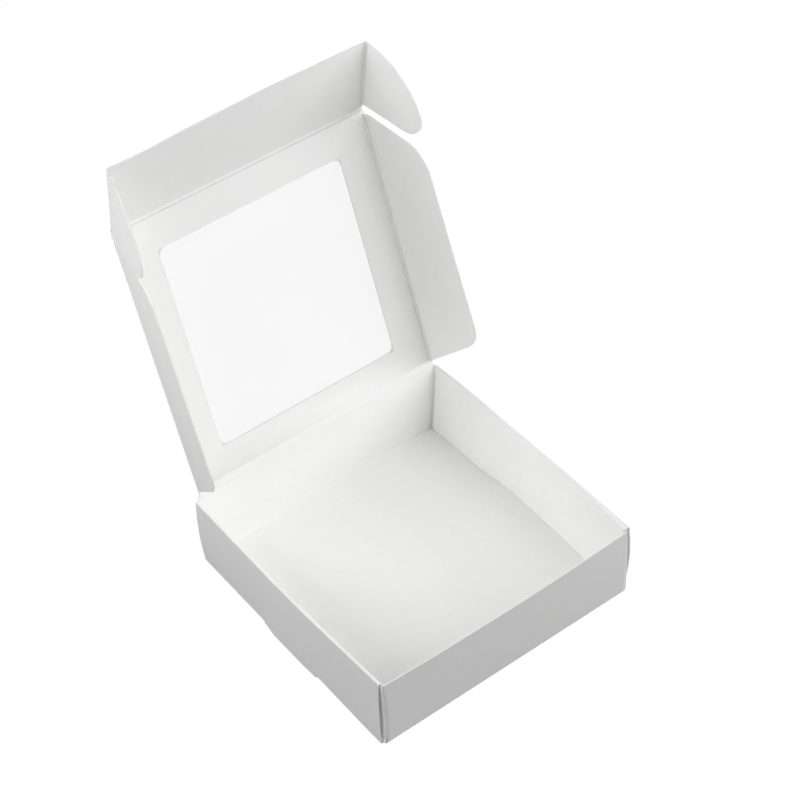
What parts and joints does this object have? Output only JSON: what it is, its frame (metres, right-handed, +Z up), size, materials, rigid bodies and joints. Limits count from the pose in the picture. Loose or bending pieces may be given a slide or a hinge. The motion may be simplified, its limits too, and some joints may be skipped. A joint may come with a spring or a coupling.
{
  "type": "window gift box",
  "caption": "Square folded white board gift box with a hinged lid, clear film window, side flaps and a tuck flap with ears, shown open.",
  "frame": {"origin": "the middle of the underside of the tray's base; the lips that the box stands on reach 1.5 mm lower", "axes": "+X to the right, +Y from the front wall to the hinge side, +Z up"},
  "size_m": [0.1494, 0.1866, 0.2122],
  "materials": {
    "board": "matte",
    "film": "clear"
  },
  "bodies": {
    "tray": {"tray": "board"},
    "lid": {"lid_panel": "board", "window_film": "film"},
    "front_flap": {"front_flap": "board"},
    "ear_left": {"ear_left": "board"},
    "ear_right": {"ear_right": "board"},
    "side_flap_left": {"side_flap_left": "board"},
    "side_flap_right": {"side_flap_right": "board"}
  },
  "joints": [
    {"name": "lid_hinge", "type": "hinge", "parent": "tray", "child": "lid", "pos_m": [0, 0.06955, 0.0422], "axis": [-1, 0, 0], "range_deg": [-110.1, 40]},
    {"name": "front_flap_fold", "type": "hinge", "parent": "lid", "child": "front_flap", "pos_m": [0, 0.11615, 0.16954], "axis": [-1, 0, 0], "range_deg": [-78.11, 28.39]},
    {"name": "ear_left_fold", "type": "hinge", "parent": "front_flap", "child": "ear_left", "pos_m": [-0.06725, 0.11615, 0.16954], "axis": [0, 0.1582, -0.9874], "range_deg": [-52.01, 18.9]},
    {"name": "ear_right_fold", "type": "hinge", "parent": "front_flap", "child": "ear_right", "pos_m": [0.06725, 0.11615, 0.16954], "axis": [0, -0.1582, 0.9874], "range_deg": [-52.01, 18.9]},
    {"name": "side_flap_left_fold", "type": "hinge", "parent": "lid", "child": "side_flap_left", "pos_m": [-0.06755, 0.06955, 0.0422], "axis": [0, -0.3437, -0.9391], "range_deg": [-22.71, 8.26]},
    {"name": "side_flap_right_fold", "type": "hinge", "parent": "lid", "child": "side_flap_right", "pos_m": [0.06755, 0.06955, 0.0422], "axis": [0, 0.3437, 0.9391], "range_deg": [-22.71, 8.26]}
  ],
  "couplings": [
    {"joint": "front_flap_fold", "follows": "lid_hinge", "ratio": 0.7094},
    {"joint": "ear_left_fold", "follows": "lid_hinge", "ratio": 0.4723},
    {"joint": "ear_right_fold", "follows": "lid_hinge", "ratio": 0.4723},
    {"joint": "side_flap_left_fold", "follows": "lid_hinge", "ratio": 0.2062},
    {"joint": "side_flap_right_fold", "follows": "lid_hinge", "ratio": 0.2062}
  ]
}
